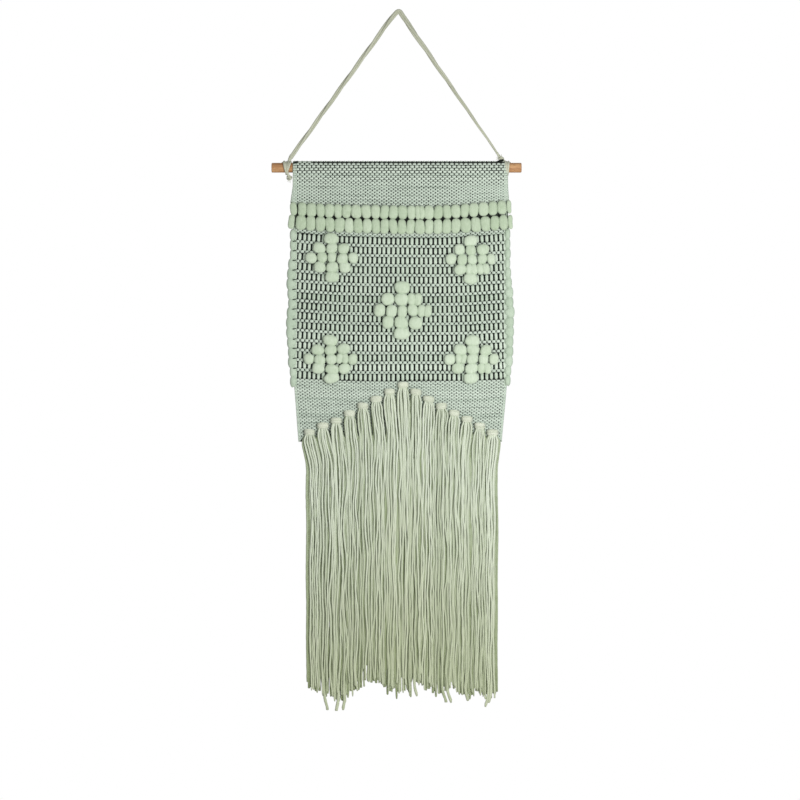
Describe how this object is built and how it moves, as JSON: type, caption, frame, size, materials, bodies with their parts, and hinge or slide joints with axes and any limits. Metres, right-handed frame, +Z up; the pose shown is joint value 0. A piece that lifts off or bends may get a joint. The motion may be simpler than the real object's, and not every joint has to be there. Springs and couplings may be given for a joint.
{
  "type": "tapestry wall hanging",
  "caption": "Woven wall hanging on a wood dowel with a hanging cord, a sage-green panel with roving rows and diamonds, and a long tasselled fringe.",
  "frame": {"origin": "the point where a nail in a wall would carry the hanging cord", "axes": "+Z up, the front faces -Y and the wall is at +Y, +X to the right as seen from the front"},
  "size_m": [0.326, 0.0229, 0.8974],
  "materials": {
    "dowel_wood": "sanded, bare",
    "cord_yarn": "twisted cotton cord",
    "ground_weave": "woven, black cotton warps and sage wefts",
    "roving": "soft unspun roving",
    "tassel_yarn": "plied yarn",
    "sewing_thread": "matt thread"
  },
  "bodies": {
    "hanger": {"dowel": "dowel_wood", "hanging_cord": "cord_yarn", "left_hitch": "cord_yarn", "right_hitch": "cord_yarn", "left_knot": "cord_yarn", "right_knot": "cord_yarn"},
    "panel": {"cloth": "ground_weave", "sleeve_seam": "sewing_thread", "roving_row_upper": "roving", "roving_row_lower": "roving", "left_selvedge_roving": "roving", "right_selvedge_roving": "roving", "diamond_upper_left": "roving", "diamond_upper_right": "roving", "diamond_centre": "roving", "diamond_lower_left": "roving", "diamond_lower_right": "roving", "tassel_head_01": "tassel_yarn", "tassel_head_02": "tassel_yarn", "tassel_head_03": "tassel_yarn", "tassel_head_04": "tassel_yarn", "tassel_head_05": "tassel_yarn", "tassel_head_06": "tassel_yarn", "tassel_head_07": "tassel_yarn", "tassel_head_08": "tassel_yarn", "tassel_head_09": "tassel_yarn", "tassel_head_10": "tassel_yarn", "tassel_head_11": "tassel_yarn", "tassel_head_12": "tassel_yarn", "tassel_head_13": "tassel_yarn", "tassel_head_14": "tassel_yarn", "tassel_head_15": "tassel_yarn"},
    "tassel_01_yarn": {"tassel_01": "tassel_yarn"},
    "tassel_02_yarn": {"tassel_02": "tassel_yarn"},
    "tassel_03_yarn": {"tassel_03": "tassel_yarn"},
    "tassel_04_yarn": {"tassel_04": "tassel_yarn"},
    "tassel_05_yarn": {"tassel_05": "tassel_yarn"},
    "tassel_06_yarn": {"tassel_06": "tassel_yarn"},
    "tassel_07_yarn": {"tassel_07": "tassel_yarn"},
    "tassel_08_yarn": {"tassel_08": "tassel_yarn"},
    "tassel_09_yarn": {"tassel_09": "tassel_yarn"},
    "tassel_10_yarn": {"tassel_10": "tassel_yarn"},
    "tassel_11_yarn": {"tassel_11": "tassel_yarn"},
    "tassel_12_yarn": {"tassel_12": "tassel_yarn"},
    "tassel_13_yarn": {"tassel_13": "tassel_yarn"},
    "tassel_14_yarn": {"tassel_14": "tassel_yarn"},
    "tassel_15_yarn": {"tassel_15": "tassel_yarn"}
  },
  "joints": [
    {"name": "panel_swing", "type": "hinge", "parent": "hanger", "child": "panel", "pos_m": [0, 0, -0.20145], "axis": [-1, 0, 0], "range_deg": [0, 70]},
    {"name": "tassel_01_swing", "type": "hinge", "parent": "panel", "child": "tassel_01_yarn", "pos_m": [-0.1179, -0.00665, -0.55345], "axis": [-1, 0, 0], "range_deg": [0, 60]},
    {"name": "tassel_02_swing", "type": "hinge", "parent": "panel", "child": "tassel_02_yarn", "pos_m": [-0.1005, -0.00665, -0.54455], "axis": [-1, 0, 0], "range_deg": [0, 60]},
    {"name": "tassel_03_swing", "type": "hinge", "parent": "panel", "child": "tassel_03_yarn", "pos_m": [-0.0831, -0.00665, -0.53565], "axis": [-1, 0, 0], "range_deg": [0, 60]},
    {"name": "tassel_04_swing", "type": "hinge", "parent": "panel", "child": "tassel_04_yarn", "pos_m": [-0.0657, -0.00665, -0.52675], "axis": [-1, 0, 0], "range_deg": [0, 60]},
    {"name": "tassel_05_swing", "type": "hinge", "parent": "panel", "child": "tassel_05_yarn", "pos_m": [-0.0483, -0.00665, -0.51785], "axis": [-1, 0, 0], "range_deg": [0, 60]},
    {"name": "tassel_06_swing", "type": "hinge", "parent": "panel", "child": "tassel_06_yarn", "pos_m": [-0.0309, -0.00665, -0.50895], "axis": [-1, 0, 0], "range_deg": [0, 60]},
    {"name": "tassel_07_swing", "type": "hinge", "parent": "panel", "child": "tassel_07_yarn", "pos_m": [-0.0135, -0.00665, -0.50005], "axis": [-1, 0, 0], "range_deg": [0, 60]},
    {"name": "tassel_08_swing", "type": "hinge", "parent": "panel", "child": "tassel_08_yarn", "pos_m": [0.0039, -0.00665, -0.49115], "axis": [-1, 0, 0], "range_deg": [0, 60]},
    {"name": "tassel_09_swing", "type": "hinge", "parent": "panel", "child": "tassel_09_yarn", "pos_m": [0.0204, -0.00665, -0.50005], "axis": [-1, 0, 0], "range_deg": [0, 60]},
    {"name": "tassel_10_swing", "type": "hinge", "parent": "panel", "child": "tassel_10_yarn", "pos_m": [0.0369, -0.00665, -0.50895], "axis": [-1, 0, 0], "range_deg": [0, 60]},
    {"name": "tassel_11_swing", "type": "hinge", "parent": "panel", "child": "tassel_11_yarn", "pos_m": [0.0534, -0.00665, -0.51785], "axis": [-1, 0, 0], "range_deg": [0, 60]},
    {"name": "tassel_12_swing", "type": "hinge", "parent": "panel", "child": "tassel_12_yarn", "pos_m": [0.0699, -0.00665, -0.52675], "axis": [-1, 0, 0], "range_deg": [0, 60]},
    {"name": "tassel_13_swing", "type": "hinge", "parent": "panel", "child": "tassel_13_yarn", "pos_m": [0.0864, -0.00665, -0.53565], "axis": [-1, 0, 0], "range_deg": [0, 60]},
    {"name": "tassel_14_swing", "type": "hinge", "parent": "panel", "child": "tassel_14_yarn", "pos_m": [0.1029, -0.00665, -0.54455], "axis": [-1, 0, 0], "range_deg": [0, 60]},
    {"name": "tassel_15_swing", "type": "hinge", "parent": "panel", "child": "tassel_15_yarn", "pos_m": [0.1194, -0.00665, -0.55345], "axis": [-1, 0, 0], "range_deg": [0, 60]}
  ]
}
